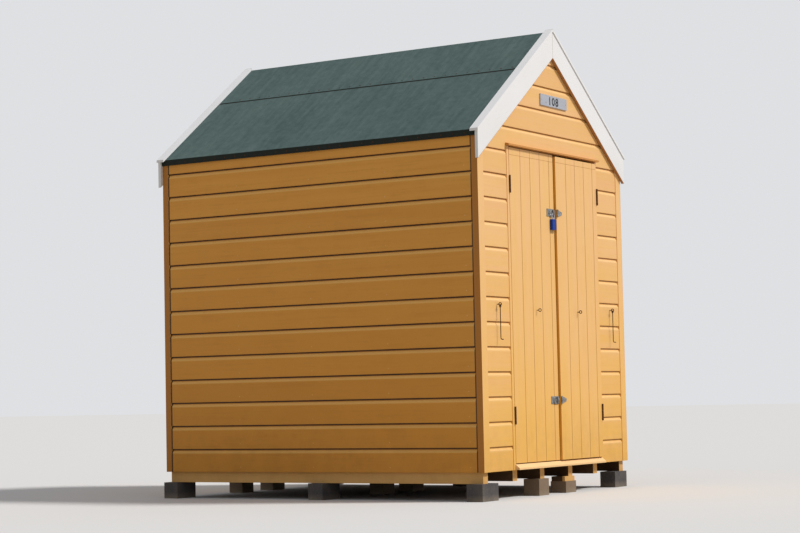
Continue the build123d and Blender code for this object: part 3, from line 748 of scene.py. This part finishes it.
def headRows():
    look = headLook
    group = bpy.data.node_groups.new("headRows", "GeometryNodeTree")
    group.interface.new_socket("Geometry", in_out="OUTPUT", socket_type="NodeSocketGeometry")
    for name, kind in rowInputs.items():
        group.interface.new_socket(name, in_out="INPUT", socket_type=kind)
    maker = NodeMaker(group)
    given = dict(zip(rowInputs, maker.node("NodeGroupInput", {}, {})))
    alongRow = {"Count": given["Along Count"], "Start Location": given["Start"], "Offset": given["Along"]}
    along = maker.node("GeometryNodeMeshLine", {"mode": "OFFSET"}, alongRow)[0]
    acrossRow = {"Count": given["Across Count"], "Offset": given["Across"]}
    across = maker.node("GeometryNodeMeshLine", {"mode": "OFFSET"}, acrossRow)[0]
    lines = maker.node("GeometryNodeInstanceOnPoints", {}, {"Points": along, "Instance": across})[0]
    places = maker.node("GeometryNodeRealizeInstances", {}, {0: lines})[0]
    ball = {"Segments": look["segments"], "Rings": look["rings"], "Radius": 1.0}
    head = maker.node("GeometryNodeMeshUVSphere", {}, ball)[0]
    radius = given["Head Radius"]
    sizes = maker.node("ShaderNodeCombineXYZ", {}, {0: radius, 1: radius, 2: given["Head Rise"]})[0]
    spread = {2: look["smallest"], 3: look["largest"], "Seed": given["Seed"]}
    jitter = maker.node("FunctionNodeRandomValue", {"data_type": "FLOAT"}, spread)[1]
    scaled = maker.node("ShaderNodeVectorMath", {"operation": "SCALE"}, {0: sizes, "Scale": jitter})[0]
    laid = {"Points": places, "Instance": head, "Rotation": given["Turn"], "Scale": scaled}
    heads = maker.node("GeometryNodeInstanceOnPoints", {}, laid)[0]
    whole = maker.node("GeometryNodeRealizeInstances", {}, {0: heads})[0]
    dress = {"Geometry": whole, "Material": given["Finish"]}
    dressed = maker.node("GeometryNodeSetMaterial", {}, dress)[0]
    maker.node("NodeGroupOutput", {}, {0: dressed})
    return group


rowTree = headRows()
rowItems = [item for item in rowTree.interface.items_tree if item.in_out == "INPUT"]
rowSockets = {item.name: item.identifier for item in rowItems}
facing = {
    "front": (math.pi / 2, 0, 0),
    "back": (-math.pi / 2, 0, 0),
    "left": (0, -math.pi / 2, 0),
    "right": (0, math.pi / 2, 0),
    "leftSlope": (0, -slopeAngle, 0),
    "rightSlope": (0, slopeAngle, 0),
}


def headRow(face, start, step=(0, 0, 1), count=1, rowStep=(0, 0, 1), rows=1):
    return {
        "Turn": facing[face],
        "Start": start,
        "Along": step,
        "Along Count": count,
        "Across": rowStep,
        "Across Count": rows,
    }


def centredRow(face, y, z, reach, count, rowStep=(0, 0, 1), rows=1):   # from -reach to reach
    return headRow(face, (-reach, y, z), (2 * reach / (count - 1), 0, 0), count, rowStep, rows)


def layHeads(name, body, rows, look, finish):
    joined = bmesh.new()
    for seed, row in enumerate(rows):
        carrier = placed("rows", bpy.data.meshes.new("rows"))
        modifier = carrier.modifiers.new("rows", "NODES")
        modifier.node_group = rowTree
        sizes = {"Head Radius": look["radius"], "Head Rise": look["rise"]}
        for key, value in {**row, **sizes, "Seed": seed, "Finish": finish}.items():
            modifier[rowSockets[key]] = value
        plain = plainMesh(carrier)
        joined.from_mesh(plain)
        bpy.data.objects.remove(carrier)
        bpy.data.meshes.remove(plain)
    mesh = bpy.data.meshes.new(name)
    joined.to_mesh(mesh)
    joined.free()
    mesh.materials.append(finish)
    for polygon in mesh.polygons:
        polygon.use_smooth = True
        polygon.material_index = 0
    piece = placed(name, mesh)
    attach(piece, body)


nailLook = {
    "radius": 0.0030,
    "rise": 0.0007,
    "aboveLap": 0.030,
    "outerIn": 0.014,          # on the panels beside the doors, from the corner board
    "innerIn": 0.018,          # and from the jamb
    "header": (0.42, 3),       # a row's reach each side of the middle, and its nails
    "gable": (0.62, 5),
    "top": (0.31, 2),
    "back": (0.80, 5),
    "gableBoard": 14,
    "topBoard": 15,
    "topAboveLap": 0.075,
    "panelBoards": 12,
    "headerBoards": 2,
    "wallBoards": 13,
    "sideIn": 0.085,
    "sideStep": 0.52,
    "sideNails": 4,
}


def boardNails():
    look = nailLook
    first = lapDatum + look["aboveLap"]
    gable = first + look["gableBoard"] * boardCover
    top = lapDatum + look["topBoard"] * boardCover + look["topAboveLap"]
    up = (0, 0, boardCover)
    outer = panelLow.x + look["outerIn"]
    inner = panelHigh.x - look["innerIn"]
    header = headerLow.z + look["aboveLap"]
    onPanel = ((inner - outer, 0, 0), 2, up, look["panelBoards"])
    onSide = ((0, look["sideStep"], 0), look["sideNails"], up, look["wallBoards"])
    sideStart = frontFace + look["sideIn"]
    rows = [
        headRow("front", (outer, frontFace, first), *onPanel),
        headRow("front", (-inner, frontFace, first), *onPanel),
        centredRow("front", frontFace, header, *look["header"], up, look["headerBoards"]),
        centredRow("front", frontFace, gable, *look["gable"]),
        centredRow("front", frontFace, top, *look["top"]),
        centredRow("back", backFace, first, *look["back"], up, look["wallBoards"]),
        headRow("left", (-sideFace, sideStart, first), *onSide),
        headRow("right", (sideFace, sideStart, first), *onSide),
    ]
    layHeads("board_nails", "hut", rows, look, paintUpright)


cloutLook = {
    "radius": 0.0052,
    "rise": 0.0012,
    "step": 0.075,
    "endIn": 0.07,
    "endRoom": 0.12,
    "eaveUp": 0.016,           # from the lower edge of the turned felt
    "lapIn": 0.022,            # from the edge of the ridge sheet, up the slope
}


def feltClouts():
    look = cloutLook
    count = int((backFace - frontFace - look["endRoom"]) / look["step"])
    lapX = ridgeHigh.x - look["lapIn"] * math.cos(slopeAngle)
    lapZ = ridgeHigh.z - lapX * math.tan(slopeAngle)
    eaveZ = eaveLow.z + look["eaveUp"]
    edges = {
        "leftSlope": (-lapX, lapZ),
        "rightSlope": (lapX, lapZ),
        "left": (eaveLow.x, eaveZ),
        "right": (eaveHigh.x, eaveZ),
    }
    rows = [
        headRow(face, (x, frontFace + look["endIn"], z), (0, look["step"], 0), count)
        for face, (x, z) in edges.items()
    ]
    layHeads("felt_clouts", "hut", rows, look, rusty)


boardNails()
feltClouts()
print("nails and clouts laid")

screwLook = {
    "radius": 0.0036,
    "rise": 0.0014,
    "plateIn": 0.014,
    "haspMid": 0.022,          # from a hasp's end to its middle
    "pairLift": 0.011,
    "strapPairIn": 0.014,
    "strapSingleIn": 0.034,
    "wingPairIn": 0.020,
    "wingSingleIn": 0.046,
    "wingThickness": 0.003,
}


def setScrews(name, body, places):
    rows = [headRow("front", place) for place in places]
    layHeads(name, body, rows, screwLook, galvanised)


# Each hasp has a pair of screws, one above the other, and a third further in

def haspPlaces(x, y, pairIn, singleIn):
    lift = screwLook["pairLift"]
    mids = [strapLow.z + screwLook["haspMid"], strapHigh.z - screwLook["haspMid"]]
    spots = [(pairIn, lift), (pairIn, -lift), (singleIn, 0)]
    return [(x + across, y, mid + up) for mid in mids for across, up in spots]


def allScrews():
    look = screwLook
    plateXs = [plateLow.x + look["plateIn"], plateHigh.x - look["plateIn"]]
    setScrews("plate_screws", "hut", [(x, plateLow.y, plateMid.z) for x in plateXs])
    onStrap = haspPlaces(strapHigh.x, strapLow.y, -look["strapPairIn"], -look["strapSingleIn"])
    setScrews("strap_screws", "left_leaf", onStrap)
    wingFace = rightDoorLow.y - look["wingThickness"]
    onWing = haspPlaces(wingLow.x, wingFace, look["wingPairIn"], look["wingSingleIn"])
    setScrews("wing_screws", "right_leaf", onWing)


allScrews()
print("screws set")


# The number on the plate, a plain one

numberLook = {
    "text": "108",
    "height": 0.046,
    "sizeForHeight": 1.42,     # a font's size over the height of its digits
    "squeeze": 1.12,
    "spacing": 1.20,
    "bold": 0.0014,
    "raised": 0.0006,
    "smooth": 6,
    "weld": 1e-5,
}


def digitOutlines():
    look = numberLook
    curve = bpy.data.curves.new("plateDigits", "FONT")
    curve.body = look["text"]
    curve.align_x = "CENTER"
    curve.align_y = "CENTER"
    curve.size = look["height"] * look["sizeForHeight"]
    curve.space_character = look["spacing"]
    curve.fill_mode = "FRONT"
    curve.resolution_u = look["smooth"]
    curve.offset = look["bold"]
    letters = placed("plateDigits", curve)
    mesh = plainMesh(letters)
    bpy.data.objects.remove(letters)
    return mesh


def plateNumber():
    look = numberLook
    mesh = digitOutlines()
    solid = bmesh.new()
    solid.from_mesh(mesh)
    bmesh.ops.remove_doubles(solid, verts=solid.verts, dist=look["weld"])
    bmesh.ops.dissolve_degenerate(solid, edges=solid.edges, dist=look["weld"])
    bmesh.ops.solidify(solid, geom=solid.faces[:], thickness=2 * look["raised"])
    bmesh.ops.recalc_face_normals(solid, faces=solid.faces)
    solid.to_mesh(mesh)
    solid.free()
    low = Vector([min(vertex.co[i] for vertex in mesh.vertices) for i in range(3)])
    high = Vector([max(vertex.co[i] for vertex in mesh.vertices) for i in range(3)])
    centred = Matrix.Translation(-(low + high) / 2)
    squeezed = Matrix.Diagonal((look["squeeze"], 1, 1, 1))
    stood = Matrix.Rotation(math.pi / 2, 4, "X")
    onPlate = Matrix.Translation((plateMid.x, plateLow.y, plateMid.z))
    mesh.transform(onPlate @ stood @ squeezed @ centred)
    mesh.materials.append(plateInk)
    digits = placed("plate_digits", mesh)
    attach(digits, "hut")


plateNumber()
print("number set on the plate")


# Floor, light and camera

stageLook = {
    "floorSeen": (0.705, 0.710, 0.722),
    "floorBounce": (0.46, 0.42, 0.35),   # what the floor throws back on the hut
    "floorReach": 60,
    "sky": (0.90, 0.90, 0.91),
    "skyLight": 0.45,
    "skySeen": (0.735, 0.745, 0.765),
    "sunStrength": 2.75,
    "sunColour": (1.0, 0.965, 0.91),
    "sunAngle": 10,
    "sunFrom": (0.22, -0.66, 0.72),
    "cameraPlace": (-10.322, -6.535, 0.582),
    "aim": (-0.16, -0.12, 1.36),
    "roll": -1.2,
    "lens": 90.0,
    "sensor": 36,
    "clipEnd": 200,
}


def makeFloor():
    look = stageLook
    reach = look["floorReach"]
    square = [(-reach, -reach, 0), (reach, -reach, 0), (reach, reach, 0), (-reach, reach, 0)]
    mesh = bpy.data.meshes.new("floor")
    mesh.from_pydata(square, [], [(0, 1, 2, 3)])
    ground = Shader("paleFloor", specular=0.0)
    colour = ground.blend(ground.watched(), look["floorBounce"], look["floorSeen"])
    mesh.materials.append(ground.finish(colour, 0.9))
    floorPlane = placed("floor_stage", mesh)


def makeSky():
    look = stageLook
    world = bpy.data.worlds.new("paleSky")
    world.use_nodes = True
    sky = NodeMaker(world.node_tree)
    lighting = {"Color": (*look["sky"], 1), "Strength": look["skyLight"]}
    lit = sky.node("ShaderNodeBackground", {}, lighting)[0]
    shown = sky.node("ShaderNodeBackground", {}, {"Color": (*look["skySeen"], 1), "Strength": 1.0})[0]
    either = sky.node("ShaderNodeMixShader", {}, {0: sky.watched(), 1: lit, 2: shown})[0]
    sky.node("ShaderNodeOutputWorld", {}, {"Surface": either})
    bpy.context.scene.world = world


def makeSun():
    look = stageLook
    sun = bpy.data.lights.new("softSun", "SUN")
    sun.energy = look["sunStrength"]
    sun.angle = math.radians(look["sunAngle"])
    sun.color = look["sunColour"]
    lamp = placed("softSun", sun)
    lamp.rotation_euler = Vector(look["sunFrom"]).to_track_quat("Z", "Y").to_euler()


def makeCamera():
    look = stageLook
    lens = bpy.data.cameras.new("camera")
    lens.lens = look["lens"]
    lens.sensor_width = look["sensor"]
    lens.clip_end = look["clipEnd"]
    camera = placed("camera", lens)
    camera.location = look["cameraPlace"]
    gaze = Vector(look["aim"]) - Vector(look["cameraPlace"])
    rolled = Matrix.Rotation(math.radians(look["roll"]), 4, "Z")
    aimed = gaze.to_track_quat("-Z", "Y").to_matrix().to_4x4()
    camera.rotation_euler = (aimed @ rolled).to_euler()
    bpy.context.scene.camera = camera


makeFloor()
makeSky()
makeSun()
makeCamera()
bpy.context.scene.view_settings.view_transform = "Standard"
print("stage, light and camera set")
